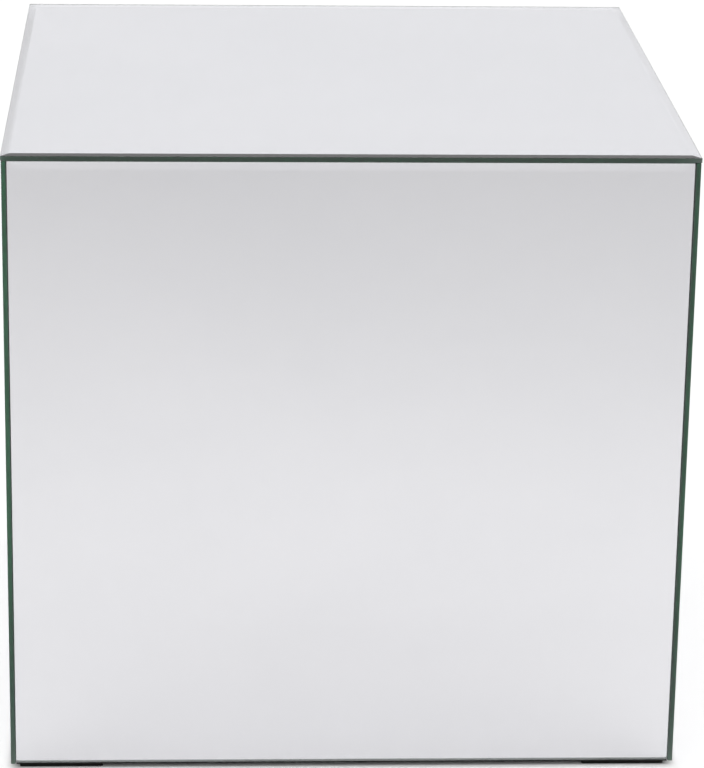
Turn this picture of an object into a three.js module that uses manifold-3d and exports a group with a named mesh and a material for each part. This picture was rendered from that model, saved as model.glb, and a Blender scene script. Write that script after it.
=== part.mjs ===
// A mirror-clad cube: a free-standing side table made of an MDF box with five bevelled mirror panes.
// Millimetres, +Z up. The origin is on the floor, under the middle of the cube. The front faces -Y.

import * as THREE from 'three';
import { mergeVertices } from 'three/addons/utils/BufferGeometryUtils.js';
import Module from 'manifold-3d';

// ---------------------------------------------------------------- driving dimensions

const WIDTH = 500; // over the outer faces of the side panes
const DEPTH = 500; // over the outer faces of the front and back panes
const HEIGHT = 475; // floor to the top face

const GLASS = 4; // pane thickness
const BEVEL_WIDTH = 6.5; // bevel facet, measured along the face
const BEVEL_DROP = 0.55; // how much thinner the pane is at its ground edge
const JOINT = 0.3; // open joint between neighbouring panes
const ADHESIVE = 1; // bead thickness between a pane and its board
const BOARD = 12; // MDF thickness
const SHEET = 1; // black sheet under the box
const SHEET_SETBACK = 1; // from the face of the front and back panes
const SHEET_SIDE_GAP = 0.5; // between the sheet and the side panes
const SIDE_PANE_BOTTOM = 3.5; // the side panes hang a little lower than the front one

const PAD_SIZE = 62; // square foot pad
const PAD_HEIGHT = 3;
const PAD_SIDE_INSET = 7; // from the side panes' outer faces
const PAD_FRONT_INSET = 3; // from the front and back panes' outer faces
const PAD_CORNER = 1.5;

const BATTEN = 28; // square section of a corner batten
const BATTEN_CHAMFER = 3;
const BATTEN_END_GAP = 6; // below the top board

const BEAD_WIDTH = 14;
const BEAD_RUNS = 5; // parallel runs of the zig-zag adhesive bead behind each pane
const BEAD_END_MARGIN = 35; // from the turns of a bead to the edges of its board

const SCREW_CLEARANCE = 0.3; // radial gap round a screw or dowel
const PAD_SCREW = { shank: 1.5, head: 3, cone: 1.6, length: 10, sink: 0.6 };
const PAD_SCREW_PITCH = 34; // between the two screws of a pad, along its diagonal
const CARCASS_SCREW = { shank: 2, head: 4, cone: 2.2, length: 45, sink: 0.4 };
const DOWEL = { radius: 3, length: 24, inBoard: 8 };
const DOWEL_PITCH = 260; // between the two dowels of a wall
const ROUND_SIDES = 12;
const WELD = 1e-4; // vertices closer than this are one

// ---------------------------------------------------------------- levels and planes

const boardBottom = PAD_HEIGHT + SHEET;
const wallBottom = boardBottom + BOARD;
const paneTopUnderside = HEIGHT - GLASS;
const boardTopUpper = paneTopUnderside - ADHESIVE;
const boardTopLower = boardTopUpper - BOARD;
const wallHeight = boardTopLower - wallBottom;
const carcassHalfX = WIDTH / 2 - GLASS - ADHESIVE;
const carcassHalfY = DEPTH / 2 - GLASS - ADHESIVE;
const insideHalfX = carcassHalfX - BOARD;
const insideHalfY = carcassHalfY - BOARD;
const SIDES = [-1, 1];
const CORNERS = [
  { name: 'front_left', x: -1, y: -1 },
  { name: 'front_right', x: 1, y: -1 },
  { name: 'back_left', x: -1, y: 1 },
  { name: 'back_right', x: 1, y: 1 },
];

// ---------------------------------------------------------------- joining and cutting solids

const wasm = await Module();
wasm.setup();

function toSolid(geometry) {
  const bare = geometry.clone();
  bare.deleteAttribute('normal');
  bare.deleteAttribute('uv');
  const merged = mergeVertices(bare, WELD);
  const vertProperties = new Float32Array(merged.attributes.position.array);
  const triVerts = new Uint32Array(merged.index.array);
  return new wasm.Manifold(new wasm.Mesh({ numProp: 3, vertProperties, triVerts }));
}

function toGeometry(solid) {
  const mesh = solid.getMesh();
  const geometry = new THREE.BufferGeometry();
  geometry.setAttribute('position', new THREE.BufferAttribute(mesh.vertProperties.slice(), 3));
  geometry.setIndex(new THREE.BufferAttribute(mesh.triVerts.slice(), 1));
  geometry.computeVertexNormals();
  return geometry;
}

function cut(geometry, tools) {
  let solid = toSolid(geometry);
  for (const tool of tools) {
    solid = solid.subtract(toSolid(tool));
  }
  return toGeometry(solid);
}

function join(geometries) {
  const [first, ...others] = geometries.map(toSolid);
  return toGeometry(others.reduce((sum, solid) => sum.add(solid), first));
}

// ---------------------------------------------------------------- basic shapes

function box(sizeX, sizeY, sizeZ, x = 0, y = 0, z = 0) {
  return new THREE.BoxGeometry(sizeX, sizeY, sizeZ).translate(x, y, z);
}

// A rod on the Z axis from z = 0 up, turned from a half profile.
function turned(profile) {
  const points = profile.map(([radius, z]) => new THREE.Vector2(radius, z));
  return new THREE.LatheGeometry(points, ROUND_SIDES).rotateX(Math.PI / 2);
}

// A countersunk screw that points up, with its head face at z = 0. grow widens it into its own hole.
function screwShape({ shank, head, cone, length }, grow = 0) {
  return turned([
    [0, -grow],
    [head + grow, -grow],
    [shank + grow, cone],
    [shank + grow, length - 2 * shank],
    [0, length + grow],
  ]);
}

// A dowel that stands on z = 0, with small chamfers on its ends.
function dowelShape(grow = 0) {
  const radius = DOWEL.radius + grow;
  const chamfer = 0.8;
  return turned([
    [0, -grow],
    [radius - chamfer, -grow],
    [radius, chamfer - grow],
    [radius, DOWEL.length - chamfer + grow],
    [radius - chamfer, DOWEL.length + grow],
    [0, DOWEL.length + grow],
  ]);
}

function roundedRectangle(width, height, radius) {
  const [x, y] = [width / 2, height / 2];
  const shape = new THREE.Shape();
  shape.moveTo(-x + radius, -y);
  shape.lineTo(x - radius, -y);
  shape.absarc(x - radius, -y + radius, radius, -Math.PI / 2, 0);
  shape.lineTo(x, y - radius);
  shape.absarc(x - radius, y - radius, radius, 0, Math.PI / 2);
  shape.lineTo(-x + radius, y);
  shape.absarc(-x + radius, y - radius, radius, Math.PI / 2, Math.PI);
  shape.lineTo(-x, -y + radius);
  shape.absarc(-x + radius, -y + radius, radius, Math.PI, 1.5 * Math.PI);
  return shape;
}

function extruded(shape, depth, curveSegments = 4) {
  return new THREE.ExtrudeGeometry(shape, { depth, curveSegments, bevelEnabled: false });
}

// ---------------------------------------------------------------- mirror panes

// A pane that lies flat, its silvered back on z = 0: a slab with square ground edges, and on it a low
// frustum whose four slopes are the bevel facets, mitred at the corners.
function bevelledPane(width, height) {
  const edge = GLASS - BEVEL_DROP;
  const slab = box(width, height, edge, 0, 0, edge / 2);
  const facets = box(width, height, BEVEL_DROP, 0, 0, edge + BEVEL_DROP / 2);
  const position = facets.attributes.position;
  for (let i = 0; i < position.count; i += 1) {
    if (position.getZ(i) > edge + BEVEL_DROP / 2) {
      position.setX(i, position.getX(i) - Math.sign(position.getX(i)) * BEVEL_WIDTH);
      position.setY(i, position.getY(i) - Math.sign(position.getY(i)) * BEVEL_WIDTH);
    }
  }
  return join([slab, facets]);
}

function mirrorMaterial() {
  return new THREE.MeshStandardMaterial({ color: 0xe2e3e7, roughness: 0.04, metalness: 1 });
}

function mirrorPanes() {
  const group = new THREE.Group();
  const uprightTop = paneTopUnderside - JOINT;

  const top = new THREE.Mesh(bevelledPane(WIDTH, DEPTH), mirrorMaterial());
  top.name = 'mirror_top';
  top.position.z = paneTopUnderside;
  group.add(top);

  const sideHeight = uprightTop - SIDE_PANE_BOTTOM;
  const side = bevelledPane(DEPTH, sideHeight).rotateX(Math.PI / 2).rotateZ(Math.PI / 2);
  for (const sign of SIDES) {
    const geometry = sign > 0 ? side.clone() : side.clone().rotateZ(Math.PI);
    const pane = new THREE.Mesh(geometry, mirrorMaterial());
    pane.name = sign > 0 ? 'mirror_right' : 'mirror_left';
    pane.position.set(sign * (WIDTH / 2 - GLASS), 0, SIDE_PANE_BOTTOM + sideHeight / 2);
    group.add(pane);
  }

  const betweenSides = WIDTH - 2 * (GLASS + JOINT);
  const faceBottom = boardBottom + JOINT;
  const faceHeight = uprightTop - faceBottom;
  const face = bevelledPane(betweenSides, faceHeight).rotateX(Math.PI / 2);
  for (const sign of SIDES) {
    const geometry = sign < 0 ? face.clone() : face.clone().rotateZ(Math.PI);
    const pane = new THREE.Mesh(geometry, mirrorMaterial());
    pane.name = sign < 0 ? 'mirror_front' : 'mirror_back';
    pane.position.set(0, sign * (DEPTH / 2 - GLASS), faceBottom + faceHeight / 2);
    group.add(pane);
  }
  return group;
}

// ---------------------------------------------------------------- adhesive beads

// One continuous zig-zag bead pressed flat between a board and its pane, lying on z = 0. Its runs go
// along Y, joined by short turns at alternate ends.
function zigzagBead(width, height) {
  const length = height - 2 * BEAD_END_MARGIN;
  const pitch = width / BEAD_RUNS;
  const stretches = [];
  for (let i = 0; i < BEAD_RUNS; i += 1) {
    const x = (i - (BEAD_RUNS - 1) / 2) * pitch;
    stretches.push(box(BEAD_WIDTH, length, ADHESIVE, x, 0, ADHESIVE / 2));
    if (i > 0) {
      const end = (i % 2 === 0 ? -1 : 1) * (length - BEAD_WIDTH) / 2;
      stretches.push(box(pitch, BEAD_WIDTH, ADHESIVE, x - pitch / 2, end, ADHESIVE / 2));
    }
  }
  return join(stretches);
}

function adhesiveMaterial() {
  return new THREE.MeshStandardMaterial({ color: 0xb9b4a6, roughness: 0.8, metalness: 0 });
}

function adhesive() {
  const group = new THREE.Group();
  const add = (name, geometry, x, y, z) => {
    const mesh = new THREE.Mesh(geometry, adhesiveMaterial());
    mesh.name = name;
    mesh.position.set(x, y, z);
    group.add(mesh);
  };
  const wallSpan = boardTopUpper - boardBottom;
  const middle = boardBottom + wallSpan / 2;
  const onFront = zigzagBead(2 * carcassHalfX, wallSpan).rotateX(Math.PI / 2);
  const onSide = zigzagBead(2 * carcassHalfY, wallSpan).rotateX(Math.PI / 2).rotateZ(Math.PI / 2);
  add('adhesive_top', zigzagBead(2 * carcassHalfX, 2 * carcassHalfY), 0, 0, boardTopUpper);
  add('adhesive_front', onFront.clone(), 0, -carcassHalfY, middle);
  add('adhesive_back', onFront.clone(), 0, carcassHalfY + ADHESIVE, middle);
  add('adhesive_right', onSide.clone(), carcassHalfX, 0, middle);
  add('adhesive_left', onSide.clone(), -carcassHalfX - ADHESIVE, 0, middle);
  return group;
}

// ---------------------------------------------------------------- fastener places

function padCentre(corner) {
  return {
    x: corner.x * (WIDTH / 2 - PAD_SIDE_INSET - PAD_SIZE / 2),
    y: corner.y * (DEPTH / 2 - PAD_FRONT_INSET - PAD_SIZE / 2),
  };
}

// Two screws per pad, on the diagonal that doesn't run under the batten's own screw.
function padScrewPlaces(corner) {
  const centre = padCentre(corner);
  const step = PAD_SCREW_PITCH / 2;
  return SIDES.map((sign) => ({
    x: centre.x + sign * corner.x * step,
    y: centre.y - sign * corner.y * step,
  }));
}

function battenCentre(corner) {
  return {
    x: corner.x * (insideHalfX - BATTEN / 2),
    y: corner.y * (insideHalfY - BATTEN / 2),
  };
}

// Two dowels along each wall.
function dowelPlaces() {
  const places = [];
  for (const along of SIDES) {
    const step = (along * DOWEL_PITCH) / 2;
    const number = along < 0 ? 1 : 2;
    const wallX = (carcassHalfX + insideHalfX) / 2;
    const wallY = (carcassHalfY + insideHalfY) / 2;
    places.push({ name: `dowel_left_${number}`, x: -wallX, y: step });
    places.push({ name: `dowel_right_${number}`, x: wallX, y: step });
    places.push({ name: `dowel_front_${number}`, x: step, y: -wallY });
    places.push({ name: `dowel_back_${number}`, x: step, y: wallY });
  }
  return places;
}

const dowelBottom = boardTopLower - DOWEL.length + DOWEL.inBoard;
const padScrewLevel = PAD_SCREW.sink;
const carcassScrewLevel = boardBottom + CARCASS_SCREW.sink;

function padScrewHoles() {
  return CORNERS.flatMap(padScrewPlaces).map(({ x, y }) =>
    screwShape(PAD_SCREW, SCREW_CLEARANCE).translate(x, y, padScrewLevel));
}

function carcassScrewHoles() {
  return CORNERS.map(battenCentre).map(({ x, y }) =>
    screwShape(CARCASS_SCREW, SCREW_CLEARANCE).translate(x, y, carcassScrewLevel));
}

// Open mouths below the screw heads, so that each countersink reaches the surface.
function screwMouths(places, { head }, level) {
  const mouth = 2;
  const radius = head + SCREW_CLEARANCE;
  return places.map(({ x, y }) =>
    turned([[0, -mouth], [radius, -mouth], [radius, 0], [0, 0]]).translate(x, y, level));
}

function dowelHoles() {
  return dowelPlaces().map(({ x, y }) => dowelShape(SCREW_CLEARANCE).translate(x, y, dowelBottom));
}

// ---------------------------------------------------------------- MDF carcass

function boardMaterial() {
  return new THREE.MeshStandardMaterial({ color: 0xa9865a, roughness: 0.9, metalness: 0 });
}

function board(name, geometry) {
  const mesh = new THREE.Mesh(geometry, boardMaterial());
  mesh.name = name;
  return mesh;
}

function carcass() {
  const group = new THREE.Group();
  const fullX = 2 * carcassHalfX;
  const fullY = 2 * carcassHalfY;
  const wallMiddle = wallBottom + wallHeight / 2;
  const dowels = dowelHoles();

  const topBlank = box(fullX, fullY, BOARD, 0, 0, boardTopLower + BOARD / 2);
  group.add(board('board_top', cut(topBlank, dowels)));

  const bottomBlank = box(fullX, fullY, BOARD, 0, 0, boardBottom + BOARD / 2);
  const bottomHoles = [
    ...padScrewHoles(),
    ...carcassScrewHoles(),
    ...screwMouths(CORNERS.map(battenCentre), CARCASS_SCREW, carcassScrewLevel),
  ];
  group.add(board('board_bottom', cut(bottomBlank, bottomHoles)));

  for (const sign of SIDES) {
    const sideX = sign * (carcassHalfX - BOARD / 2);
    const sideBlank = box(BOARD, fullY, wallHeight, sideX, 0, wallMiddle);
    group.add(board(sign > 0 ? 'board_right' : 'board_left', cut(sideBlank, dowels)));

    const faceY = sign * (carcassHalfY - BOARD / 2);
    const faceBlank = box(2 * insideHalfX, BOARD, wallHeight, 0, faceY, wallMiddle);
    group.add(board(sign > 0 ? 'board_back' : 'board_front', cut(faceBlank, dowels)));
  }
  return group;
}

// ---------------------------------------------------------------- corner battens

// A square batten with its inner corner planed off, standing on the bottom board.
function battenGeometry(corner) {
  const half = BATTEN / 2;
  const outline = new THREE.Shape();
  outline.moveTo(half, half);
  outline.lineTo(-half, half);
  outline.lineTo(-half, -half + BATTEN_CHAMFER);
  outline.lineTo(-half + BATTEN_CHAMFER, -half);
  outline.lineTo(half, -half);
  const turns = { '1,1': 0, '-1,1': 1, '-1,-1': 2, '1,-1': 3 };
  const quarter = turns[`${corner.x},${corner.y}`];
  const stick = extruded(outline, wallHeight - BATTEN_END_GAP).rotateZ((quarter * Math.PI) / 2);
  const { x, y } = battenCentre(corner);
  return stick.translate(x, y, wallBottom);
}

function battens() {
  const group = new THREE.Group();
  const holes = carcassScrewHoles();
  CORNERS.forEach((corner, i) => {
    const material = new THREE.MeshStandardMaterial({ color: 0xd8b67e, roughness: 0.8, metalness: 0 });
    const mesh = new THREE.Mesh(cut(battenGeometry(corner), [holes[i]]), material);
    mesh.name = `batten_${corner.name}`;
    group.add(mesh);
  });
  return group;
}

// ---------------------------------------------------------------- underside

function baseSheet() {
  const sizeX = WIDTH - 2 * (GLASS + SHEET_SIDE_GAP);
  const sizeY = DEPTH - 2 * SHEET_SETBACK;
  const blank = box(sizeX, sizeY, SHEET, 0, 0, PAD_HEIGHT + SHEET / 2);
  const material = new THREE.MeshStandardMaterial({ color: 0x1d1c1b, roughness: 0.7, metalness: 0 });
  const mesh = new THREE.Mesh(cut(blank, padScrewHoles()), material);
  mesh.name = 'base_sheet';
  return mesh;
}

function footPads() {
  const group = new THREE.Group();
  const blank = extruded(roundedRectangle(PAD_SIZE, PAD_SIZE, PAD_CORNER), PAD_HEIGHT);
  for (const corner of CORNERS) {
    const { x, y } = padCentre(corner);
    const places = padScrewPlaces(corner);
    const holes = places.map((place) =>
      screwShape(PAD_SCREW, SCREW_CLEARANCE).translate(place.x, place.y, padScrewLevel));
    const mouths = screwMouths(places, PAD_SCREW, padScrewLevel);
    const material = new THREE.MeshStandardMaterial({ color: 0x0b0b0a, roughness: 0.6, metalness: 0 });
    const mesh = new THREE.Mesh(cut(blank.clone().translate(x, y, 0), [...holes, ...mouths]), material);
    mesh.name = `foot_${corner.name}`;
    group.add(mesh);
  }
  return group;
}

// ---------------------------------------------------------------- screws and dowels

function screwMaterial() {
  return new THREE.MeshStandardMaterial({ color: 0xb9bbbd, roughness: 0.35, metalness: 1 });
}

function dowelMaterial() {
  return new THREE.MeshStandardMaterial({ color: 0xcda873, roughness: 0.7, metalness: 0 });
}

function fasteners() {
  const group = new THREE.Group();
  const add = (name, geometry, material, place, level) => {
    const mesh = new THREE.Mesh(geometry, material);
    mesh.name = name;
    mesh.position.set(place.x, place.y, level);
    group.add(mesh);
  };
  for (const corner of CORNERS) {
    padScrewPlaces(corner).forEach((place, i) => {
      const name = `pad_screw_${corner.name}_${i + 1}`;
      add(name, screwShape(PAD_SCREW), screwMaterial(), place, padScrewLevel);
    });
    const name = `bottom_screw_${corner.name}`;
    add(name, screwShape(CARCASS_SCREW), screwMaterial(), battenCentre(corner), carcassScrewLevel);
  }
  for (const place of dowelPlaces()) {
    add(place.name, dowelShape(), dowelMaterial(), place, dowelBottom);
  }
  return group;
}

// ---------------------------------------------------------------- the cube

const mirrorCube = new THREE.Group();
mirrorCube.add(mirrorPanes(), adhesive(), carcass(), battens(), baseSheet(), footPads(), fasteners());

export default mirrorCube;
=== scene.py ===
# The looks of a mirror-clad cube side table: five bevelled mirror panes round an MDF box on black foot pads.
# Metres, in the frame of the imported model: +Z up, the front faces -Y, the origin on the floor.

import math

import bmesh
import bpy
from mathutils import Matrix, Quaternion, Vector


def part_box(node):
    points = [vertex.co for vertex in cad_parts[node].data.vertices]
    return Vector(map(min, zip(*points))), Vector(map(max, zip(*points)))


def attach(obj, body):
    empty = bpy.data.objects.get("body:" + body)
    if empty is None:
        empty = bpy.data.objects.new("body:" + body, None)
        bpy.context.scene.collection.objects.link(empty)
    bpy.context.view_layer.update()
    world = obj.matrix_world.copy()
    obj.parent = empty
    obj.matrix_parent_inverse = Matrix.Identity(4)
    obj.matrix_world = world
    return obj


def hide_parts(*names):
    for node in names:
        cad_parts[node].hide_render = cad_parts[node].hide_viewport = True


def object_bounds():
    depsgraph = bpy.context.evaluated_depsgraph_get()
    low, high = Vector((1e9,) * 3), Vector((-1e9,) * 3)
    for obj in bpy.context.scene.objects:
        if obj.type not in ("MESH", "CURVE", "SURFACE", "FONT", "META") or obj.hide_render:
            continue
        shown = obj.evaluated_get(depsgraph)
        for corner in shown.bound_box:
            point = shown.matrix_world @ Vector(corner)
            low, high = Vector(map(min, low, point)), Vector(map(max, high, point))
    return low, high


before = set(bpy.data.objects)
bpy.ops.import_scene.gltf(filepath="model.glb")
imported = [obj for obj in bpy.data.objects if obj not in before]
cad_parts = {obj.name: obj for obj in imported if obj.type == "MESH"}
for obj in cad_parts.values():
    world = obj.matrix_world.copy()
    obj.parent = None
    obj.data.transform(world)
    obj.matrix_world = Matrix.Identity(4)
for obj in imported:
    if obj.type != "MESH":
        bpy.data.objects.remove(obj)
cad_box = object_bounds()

MM = 0.001

# ---------------------------------------------------------------- the object's fine dimensions

GLASS = 4.0 * MM  # pane thickness
BEVEL_WIDTH = 6.5 * MM
BEVEL_DROP = 0.55 * MM
GLASS_BACK = 0.10 * MM  # the glass starts this far in front of the pane's back, over its paint
SILVER_FACE = 0.13 * MM  # the silver's face lies just inside the glass, so no air gap shows
SILVER_BACK = 0.03 * MM
SILVER_MARGIN = 0.25 * MM  # the silver stops just short of the ground edges
ARRIS = 0.18 * MM  # chamfer on the ground edges
PAD_ARRIS = 0.45 * MM
GLASS_IOR = 1.52
GLASS_ABSORBS = (5.5, 2.3, 3.6)  # losses of red, green and blue, per metre
ABSORPTION_DENSITY = 10.0  # per metre, above the largest of those losses

# ---------------------------------------------------------------- the studio

FLOOR_RADIUS = 9.0
FLOOR_SIDES = 96
SKY_STOPS = (
    # sine of the height above the horizon, radiance
    (0.0, 0.70),
    (0.14, 1.00),
    (0.38, 1.00),
    (0.75, 0.57),
)
SKY_BLUE = 1.012  # the sky's blue, as a multiple of its red and green
SOFTBOXES = (
    # name, centre, width, depth, radiance
    ("softbox_over_front", (0.0, -0.42, 1.25), 2.5, 0.55, 1.5),
    ("softbox_over_back", (0.0, 2.2, 3.4), 6.4, 5.2, 0.98),
)

# ---------------------------------------------------------------- the camera

CAMERA_TURN = math.radians(2.94)  # it looks a little to the right of straight ahead
CAMERA_TILT = math.radians(18.61)  # and down
CAMERA_ROLL = math.radians(0.95)
CAMERA_DISTANCE = 2.51  # from the point it aims at
CAMERA_AIM_HEIGHT = 0.641  # of the object's height, on its front
CAMERA_AIM_RIGHT = 2.0 * MM  # of the middle of its front
LENS_MM = 162.0
SENSOR_MM = 36.0


# ---------------------------------------------------------------- material building

class Recipe:
    """A node material under construction, with short ways to add nodes and to reach its shader."""

    def __init__(self, name):
        self.material = bpy.data.materials.new(name)
        self.material.use_nodes = True
        self.tree = self.material.node_tree
        self.shader = self.tree.nodes["Principled BSDF"]
        self.output = self.tree.nodes["Material Output"]

    def add(self, kind, **settings):
        node = self.tree.nodes.new(kind)
        for key, value in settings.items():
            setattr(node, key, value)
        return node

    def link(self, source, target):
        self.tree.links.new(source, target)

    def place(self, stretch=(1, 1, 1), shift=(0, 0, 0)):
        """The object's own coordinates in metres, stretched and shifted."""
        where = self.add("ShaderNodeTexCoord").outputs["Object"]
        mapping = self.add("ShaderNodeMapping")
        mapping.inputs["Scale"].default_value = stretch
        mapping.inputs["Location"].default_value = shift
        self.link(where, mapping.inputs["Vector"])
        return mapping.outputs["Vector"]

    def noise(
        self, scale, detail=3.0, roughness=0.5, distortion=0.0, stretch=(1, 1, 1), shift=(0, 0, 0)
    ):
        node = self.add("ShaderNodeTexNoise")
        node.inputs["Scale"].default_value = scale
        node.inputs["Detail"].default_value = detail
        node.inputs["Roughness"].default_value = roughness
        node.inputs["Distortion"].default_value = distortion
        self.link(self.place(stretch, shift), node.inputs["Vector"])
        return node.outputs["Fac"]

    def cells(self, scale, stretch=(1, 1, 1)):
        node = self.add("ShaderNodeTexVoronoi")
        node.inputs["Scale"].default_value = scale
        self.link(self.place(stretch), node.inputs["Vector"])
        return node.outputs["Distance"]

    def spread(self, value, low, high, to_low, to_high):
        """value's stretch from low to high, mapped to to_low to to_high and held there."""
        node = self.add("ShaderNodeMapRange", interpolation_type="SMOOTHSTEP")
        names = ("From Min", "From Max", "To Min", "To Max")
        for name, number in zip(names, (low, high, to_low, to_high)):
            node.inputs[name].default_value = number
        self.link(value, node.inputs["Value"])
        return node.outputs["Result"]

    def maths(self, operation, first, second):
        node = self.add("ShaderNodeMath", operation=operation)
        for socket, value in zip(node.inputs, (first, second)):
            if isinstance(value, (int, float)):
                socket.default_value = value
            else:
                self.link(value, socket)
        return node.outputs[0]

    def blend(self, factor, first, second):
        """Two colours, or a colour and a colour output, mixed by factor."""
        node = self.add("ShaderNodeMix", data_type="RGBA")
        self.link(factor, node.inputs[0])
        for socket, value in zip((node.inputs[6], node.inputs[7]), (first, second)):
            if isinstance(value, tuple):
                socket.default_value = (*value, 1.0)
            else:
                self.link(value, socket)
        return node.outputs[2]

    def bump(self, height, depth):
        """A bump whose full height is depth metres, linked to the shader's normal."""
        node = self.add("ShaderNodeBump")
        node.inputs["Strength"].default_value = 1.0
        node.inputs["Distance"].default_value = depth
        self.link(height, node.inputs["Height"])
        self.link(node.outputs["Normal"], self.shader.inputs["Normal"])

    def set(self, **values):
        """Plain values for the shader's inputs, or outputs to link to them."""
        for key, value in values.items():
            socket = self.shader.inputs[key.replace("_", " ")]
            if isinstance(value, bpy.types.NodeSocket):
                self.link(value, socket)
            else:
                socket.default_value = value
        return self


# ---------------------------------------------------------------- materials

def absorb(glass):
    """Float glass takes off red most and green least, so the long way through an edge looks green."""
    volume = glass.add("ShaderNodeVolumeAbsorption")
    passed = [1 - lost / ABSORPTION_DENSITY for lost in GLASS_ABSORBS]
    volume.inputs["Color"].default_value = (*passed, 1.0)
    volume.inputs["Density"].default_value = ABSORPTION_DENSITY
    glass.link(volume.outputs["Volume"], glass.output.inputs["Volume"])


def polished_glass():
    """Clear float glass, a little wavy, with the faint film that wiping leaves."""
    glass = Recipe("polished_glass")
    film = glass.noise(9.0, detail=6.0, roughness=0.62, distortion=0.6, stretch=(0.45, 1.0, 1.0))
    wiped = glass.spread(film, 0.35, 0.75, 0.0, 1.0)
    tint = glass.blend(wiped, (0.992, 0.994, 0.996), (0.972, 0.976, 0.980))
    glass.set(
        Base_Color=tint,
        Roughness=glass.spread(film, 0.45, 0.80, 0.0, 0.012),
        IOR=GLASS_IOR,
        Transmission_Weight=1.0,
    )
    glass.bump(glass.noise(4.5, detail=1.0), 0.00005)
    absorb(glass)
    return glass.material


def ground_glass():
    """The panes' fine-ground edges: frosted, streaked by the wheel, paler where they are worn."""
    edge = Recipe("ground_glass")
    streaks = edge.noise(900.0, detail=4.0, roughness=0.6, stretch=(0.02, 0.02, 1.0))
    patches = edge.noise(14.0, detail=3.0)
    scored = edge.spread(streaks, 0.3, 0.7, 0.0, 1.0)
    ground = edge.blend(scored, (0.27, 0.39, 0.32), (0.37, 0.50, 0.42))
    worn = edge.blend(edge.spread(patches, 0.45, 0.75, 0.0, 0.5), ground, (0.46, 0.56, 0.50))
    edge.set(Base_Color=worn, Roughness=0.55, IOR=GLASS_IOR, Transmission_Weight=1.0)
    edge.bump(streaks, 0.00002)
    absorb(edge)
    return edge.material


def silvering():
    """The mirror coat: near-neutral silver with a slow, faint unevenness."""
    coat = Recipe("silvering")
    drift = coat.noise(3.0, detail=4.0, roughness=0.55)
    uneven = coat.spread(drift, 0.3, 0.7, 0.0, 1.0)
    colour = coat.blend(uneven, (0.792, 0.769, 0.800), (0.810, 0.785, 0.816))
    coat.set(Base_Color=colour, Metallic=1.0, Roughness=coat.spread(drift, 0.3, 0.8, 0.0, 0.01))
    coat.bump(coat.noise(3.2, detail=1.0, shift=(2.0, 1.0, 0.0)), 0.00004)
    return coat.material


def backing_paint():
    """The grey paint on the silver's back, with the orange peel of a curtain-coated film."""
    paint = Recipe("backing_paint")
    peel = paint.noise(700.0, detail=2.0)
    tone = paint.noise(12.0, detail=4.0)
    paint.set(Base_Color=paint.blend(tone, (0.16, 0.17, 0.18), (0.21, 0.22, 0.23)), Roughness=0.55)
    paint.bump(peel, 0.00003)
    return paint.material


def pad_plastic():
    """Black moulded plastic with a fine spark-eroded grain and a few scuffs."""
    plastic = Recipe("pad_plastic")
    grain = plastic.noise(1600.0, detail=5.0, roughness=0.65)
    scuffs = plastic.noise(160.0, detail=6.0, roughness=0.7, distortion=1.5, stretch=(0.3, 1.0, 1.0))
    scuffed = plastic.spread(scuffs, 0.5, 0.75, 0.0, 1.0)
    colour = plastic.blend(scuffed, (0.003, 0.003, 0.0025), (0.012, 0.011, 0.010))
    rough = plastic.spread(grain, 0.3, 0.7, 0.42, 0.62)
    plastic.set(Base_Color=colour, Roughness=rough, Specular_IOR_Level=0.15)
    plastic.bump(grain, 0.00006)
    return plastic.material


def sheet_board():
    """The black board under the box: smooth on its faces, with a short fibre grain."""
    sheet = Recipe("sheet_board")
    fibres = sheet.noise(1100.0, detail=5.0, roughness=0.6, stretch=(1.0, 0.25, 1.0))
    clouds = sheet.noise(22.0, detail=4.0)
    clouded = sheet.spread(clouds, 0.3, 0.7, 0.0, 1.0)
    colour = sheet.blend(clouded, (0.010, 0.010, 0.009), (0.022, 0.021, 0.020))
    rough = sheet.spread(fibres, 0.3, 0.7, 0.55, 0.8)
    sheet.set(Base_Color=colour, Roughness=rough, Specular_IOR_Level=0.15)
    sheet.bump(fibres, 0.00004)
    return sheet.material


def fibreboard():
    """Raw MDF: packed short fibres, flecks of darker bark and slow drifts of tone."""
    board = Recipe("fibreboard")
    fibres = board.noise(520.0, detail=8.0, roughness=0.7, distortion=0.8)
    flecks = board.cells(420.0, stretch=(1.0, 0.4, 1.0))
    drift = board.noise(7.0, detail=4.0)
    packed = board.spread(fibres, 0.25, 0.75, 0.0, 1.0)
    base = board.blend(packed, (0.30, 0.19, 0.095), (0.46, 0.32, 0.18))
    toned = board.blend(board.spread(drift, 0.3, 0.7, 0.0, 0.45), base, (0.40, 0.27, 0.15))
    colour = board.blend(board.spread(flecks, 0.02, 0.14, 0.75, 0.0), toned, (0.13, 0.075, 0.035))
    board.set(Base_Color=colour, Roughness=board.spread(fibres, 0.3, 0.7, 0.82, 0.95))
    board.bump(fibres, 0.00012)
    return board.material


def timber(name, pale, dark, rings):
    """Planed softwood or a turned dowel, with upright grain and bands of early and late wood."""
    wood = Recipe(name)
    along = (1.0, 1.0, 0.05)
    wander = wood.noise(24.0, detail=3.0, stretch=along)
    where = wood.add("ShaderNodeSeparateXYZ")
    wood.link(wood.place(), where.inputs[0])
    run = wood.maths("ADD", where.outputs["X"], wood.maths("MULTIPLY", where.outputs["Y"], 0.6))
    bent = wood.maths("ADD", run, wood.maths("MULTIPLY", wander, 0.02))
    wave = wood.maths("SINE", wood.maths("MULTIPLY", bent, rings), 0.0)
    late = wood.spread(wave, 0.1, 1.0, 0.0, 1.0)
    pores = wood.noise(1500.0, detail=4.0, stretch=along)
    colour = wood.blend(late, pale, dark)
    colour = wood.blend(wood.spread(pores, 0.55, 0.8, 0.0, 0.4), colour, dark)
    wood.set(Base_Color=colour, Roughness=wood.spread(pores, 0.3, 0.7, 0.6, 0.8))
    wood.bump(pores, 0.00008)
    return wood.material


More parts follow.
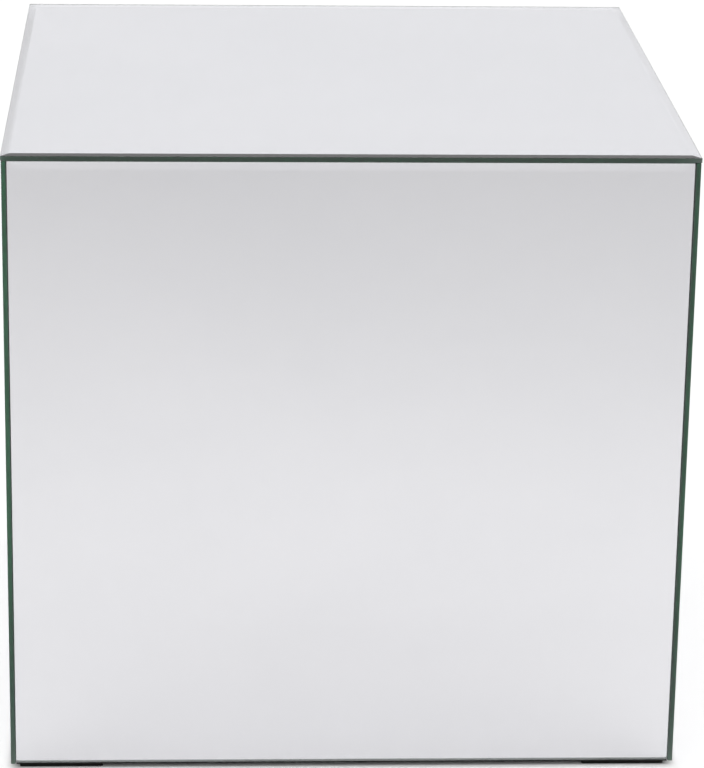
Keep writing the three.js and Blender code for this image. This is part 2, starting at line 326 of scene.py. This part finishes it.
def bead_rubber():
    """Cured mirror adhesive: dull grey rubber with a pressed, slightly pitted skin."""
    rubber = Recipe("bead_rubber")
    skin = rubber.noise(240.0, detail=5.0, roughness=0.6)
    colour = rubber.blend(skin, (0.42, 0.40, 0.35), (0.56, 0.53, 0.46))
    rubber.set(Base_Color=colour, Roughness=rubber.spread(skin, 0.3, 0.7, 0.55, 0.8))
    rubber.bump(skin, 0.0002)
    return rubber.material


def zinc_steel():
    """Zinc-plated screw steel with turning marks round its axis and dull patches."""
    steel = Recipe("zinc_steel")
    turning = steel.noise(2600.0, detail=2.0, stretch=(0.06, 0.06, 1.0))
    patches = steel.noise(320.0, detail=4.0)
    colour = steel.blend(patches, (0.46, 0.47, 0.48), (0.62, 0.63, 0.64))
    dull = steel.spread(patches, 0.3, 0.7, 0.2, 0.34)
    rough = steel.maths("ADD", dull, steel.maths("MULTIPLY", turning, 0.1))
    steel.set(Base_Color=colour, Metallic=1.0, Roughness=rough)
    steel.bump(turning, 0.00003)
    return steel.material


def studio_floor():
    """A matt pale floor with the faintest tooth."""
    floor = Recipe("studio_floor")
    tooth = floor.noise(60.0, detail=3.0)
    colour = floor.blend(tooth, (0.875, 0.875, 0.867), (0.885, 0.885, 0.877))
    floor.set(Base_Color=colour, Roughness=0.95, Specular_IOR_Level=0.0)
    return floor.material


# ---------------------------------------------------------------- mesh building

def add_object(name, mesh, materials):
    obj = bpy.data.objects.new(name, mesh)
    bpy.context.scene.collection.objects.link(obj)
    for material in materials:
        mesh.materials.append(material)
    return obj


def node_box(node):
    return tuple(Vector(corner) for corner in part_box(node))


def ring(sheet, half_u, half_v, height):
    """Four vertices round a rectangle at one height."""
    corners = ((-1, -1), (1, -1), (1, 1), (-1, 1))
    return [sheet.verts.new((su * half_u, sv * half_v, height)) for su, sv in corners]


def skin(sheet, rings):
    """Closes the space between rings of four, with a face over the first and the last."""
    sheet.faces.new(reversed(rings[0]))
    for low, high in zip(rings, rings[1:]):
        for i in range(4):
            j = (i + 1) % 4
            sheet.faces.new((low[i], low[j], high[j], high[i]))
    sheet.faces.new(rings[-1])


def glass_mesh(width, height):
    """A bevelled glass body, lying flat: polished faces are material 0, the ground edges material 1."""
    sheet = bmesh.new()
    half_u, half_v = width / 2, height / 2
    shoulder = GLASS - BEVEL_DROP
    back = ring(sheet, half_u, half_v, GLASS_BACK)
    front = ring(sheet, half_u, half_v, shoulder)
    face = ring(sheet, half_u - BEVEL_WIDTH, half_v - BEVEL_WIDTH, GLASS)
    skin(sheet, [back, front, face])
    outer = set(back + front)
    arrises = [edge for edge in sheet.edges if all(vertex in outer for vertex in edge.verts)]
    bmesh.ops.bevel(
        sheet, geom=arrises, offset=ARRIS, segments=1, affect="EDGES", clamp_overlap=True
    )
    bmesh.ops.recalc_face_normals(sheet, faces=sheet.faces)
    steepest_polished = 0.9
    for face in sheet.faces:
        face.material_index = 0 if abs(face.normal.z) > steepest_polished else 1
    mesh = bpy.data.meshes.new("glass")
    sheet.to_mesh(mesh)
    sheet.free()
    return mesh


def silver_mesh(width, height):
    """The mirror coat and its paint, lying flat: the face is material 0, its back and rim material 1."""
    sheet = bmesh.new()
    half_u, half_v = width / 2 - SILVER_MARGIN, height / 2 - SILVER_MARGIN
    rim = 0.5 * (SILVER_FACE + SILVER_BACK)
    lap = 0.05 * MM  # the paint draws in a little under the coat
    skin(sheet, [
        ring(sheet, half_u - lap, half_v - lap, SILVER_BACK),
        ring(sheet, half_u, half_v, rim),
        ring(sheet, half_u, half_v, SILVER_FACE),
    ])
    bmesh.ops.recalc_face_normals(sheet, faces=sheet.faces)
    for face in sheet.faces:
        face.material_index = 0 if face.normal.z > 0.5 else 1
    mesh = bpy.data.meshes.new("silver")
    sheet.to_mesh(mesh)
    sheet.free()
    return mesh


def pane_frame(node):
    """A pane's own frame, with its back's middle as origin and Z facing out, and its width and height."""
    low, high = node_box(node)
    size = high - low
    middle = (low + high) / 2
    thin = min(range(3), key=lambda axis: size[axis])
    out = Vector((0, 0, 0))
    out[thin] = math.copysign(1.0, middle[thin])
    up = Vector((0, 1, 0)) if thin == 2 else Vector((0, 0, 1))
    across = up.cross(out)
    turn = Matrix((across, up, out)).transposed().to_4x4()
    width = abs(size.dot(across))
    height = abs(size.dot(up))
    return Matrix.Translation(middle - out * size[thin] / 2) @ turn, width, height


def mirror_panes(nodes):
    glass, ground, silver, paint = polished_glass(), ground_glass(), silvering(), backing_paint()
    for node in nodes:
        place, width, height = pane_frame(node)
        body = add_object(node + "_glass", glass_mesh(width, height), (glass, ground))
        coat = add_object(node + "_silver", silver_mesh(width, height), (silver, paint))
        for piece in (body, coat):
            piece.matrix_world = place
            piece.visible_shadow = piece is coat  # the coat's shadow is the pane's
            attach(piece, "root")
            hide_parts(node)


def foot_pads(nodes):
    """The pads' own shape with its flat faces joined up and a moulded radius on every edge."""
    plastic = pad_plastic()
    flat = math.radians(2)
    sharp = math.radians(40)
    for node in nodes:
        sheet = bmesh.new()
        sheet.from_mesh(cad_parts[node].data)
        bmesh.ops.remove_doubles(sheet, verts=sheet.verts, dist=0.001 * MM)
        bmesh.ops.dissolve_limit(sheet, angle_limit=flat, verts=sheet.verts, edges=sheet.edges)
        mesh = bpy.data.meshes.new(node + "_pad")
        sheet.to_mesh(mesh)
        sheet.free()
        pad = add_object(node + "_pad", mesh, (plastic,))
        rounding = pad.modifiers.new("moulded edges", "BEVEL")
        rounding.width = PAD_ARRIS
        rounding.segments = 3
        rounding.limit_method = "ANGLE"
        rounding.angle_limit = sharp
        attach(pad, "root")
        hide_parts(node)


def dress(nodes, material):
    """Gives CAD nodes whose shape stays a finished material."""
    for node in nodes:
        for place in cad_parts[node].material_slots:
            place.material = material


# ---------------------------------------------------------------- the studio

def add_floor():
    sheet = bmesh.new()
    bmesh.ops.create_circle(sheet, cap_ends=True, radius=FLOOR_RADIUS, segments=FLOOR_SIDES)
    mesh = bpy.data.meshes.new("floor")
    sheet.to_mesh(mesh)
    sheet.free()
    add_object("floor", mesh, (studio_floor(),))


def add_sky():
    """A sky set only by height: softer at the horizon, brightest low down, dimmer overhead."""
    world = bpy.data.worlds.new("studio")
    world.use_nodes = True
    bpy.context.scene.world = world
    tree = world.node_tree
    direction = tree.nodes.new("ShaderNodeTexCoord")
    split = tree.nodes.new("ShaderNodeSeparateXYZ")
    ramp = tree.nodes.new("ShaderNodeValToRGB")
    tree.links.new(direction.outputs["Generated"], split.inputs[0])
    tree.links.new(split.outputs["Z"], ramp.inputs["Fac"])
    tree.links.new(ramp.outputs["Color"], tree.nodes["Background"].inputs["Color"])
    while len(ramp.color_ramp.elements) < len(SKY_STOPS):
        ramp.color_ramp.elements.new(0.5)
    for element, (height, radiance) in zip(ramp.color_ramp.elements, SKY_STOPS):
        element.position = height
        element.color = (radiance, radiance, radiance * SKY_BLUE, 1.0)


def add_softboxes():
    for name, centre, width, depth, radiance in SOFTBOXES:
        light = bpy.data.lights.new(name, "AREA")
        light.shape = "RECTANGLE"
        light.size = width
        light.size_y = depth
        light.energy = math.pi * width * depth * radiance
        lamp = bpy.data.objects.new(name, light)
        lamp.location = centre
        lamp.visible_camera = False
        bpy.context.scene.collection.objects.link(lamp)


def add_camera():
    low, high = (Vector(corner) for corner in cad_box)
    aim = Vector(((low.x + high.x) / 2 + CAMERA_AIM_RIGHT, low.y, CAMERA_AIM_HEIGHT * high.z))
    forward = Vector((
        math.sin(CAMERA_TURN) * math.cos(CAMERA_TILT),
        math.cos(CAMERA_TURN) * math.cos(CAMERA_TILT),
        -math.sin(CAMERA_TILT),
    ))
    data = bpy.data.cameras.new("camera")
    data.lens = LENS_MM
    data.sensor_width = SENSOR_MM
    camera = bpy.data.objects.new("camera", data)
    camera.location = aim - forward * CAMERA_DISTANCE
    camera.rotation_mode = "QUATERNION"
    camera.rotation_quaternion = forward.to_track_quat("-Z", "Y") @ Quaternion((0, 0, 1), CAMERA_ROLL)
    bpy.context.scene.collection.objects.link(camera)
    bpy.context.scene.camera = camera


def set_light_paths():
    """Enough bounces for light to cross the glass both ways and meet the next pane."""
    scene = bpy.context.scene
    scene.view_settings.view_transform = "Standard"
    scene.cycles.max_bounces = 24
    scene.cycles.diffuse_bounces = 4
    scene.cycles.glossy_bounces = 16
    scene.cycles.transmission_bounces = 22
    scene.cycles.blur_glossy = 0.0


# ---------------------------------------------------------------- the scene

def nodes_named(start):
    return sorted(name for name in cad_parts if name.startswith(start))


add_camera()
set_light_paths()
add_sky()
add_softboxes()
add_floor()

mirror_panes(nodes_named("mirror_"))
foot_pads(nodes_named("foot_"))
dress(nodes_named("base_sheet"), sheet_board())
dress(nodes_named("board_"), fibreboard())
dress(nodes_named("batten_"), timber("pine", (0.66, 0.46, 0.25), (0.50, 0.30, 0.13), 900.0))
dress(nodes_named("dowel_"), timber("beech", (0.62, 0.42, 0.24), (0.50, 0.32, 0.17), 1800.0))
dress(nodes_named("adhesive_"), bead_rubber())
dress(nodes_named("pad_screw_") + nodes_named("bottom_screw_"), zinc_steel())
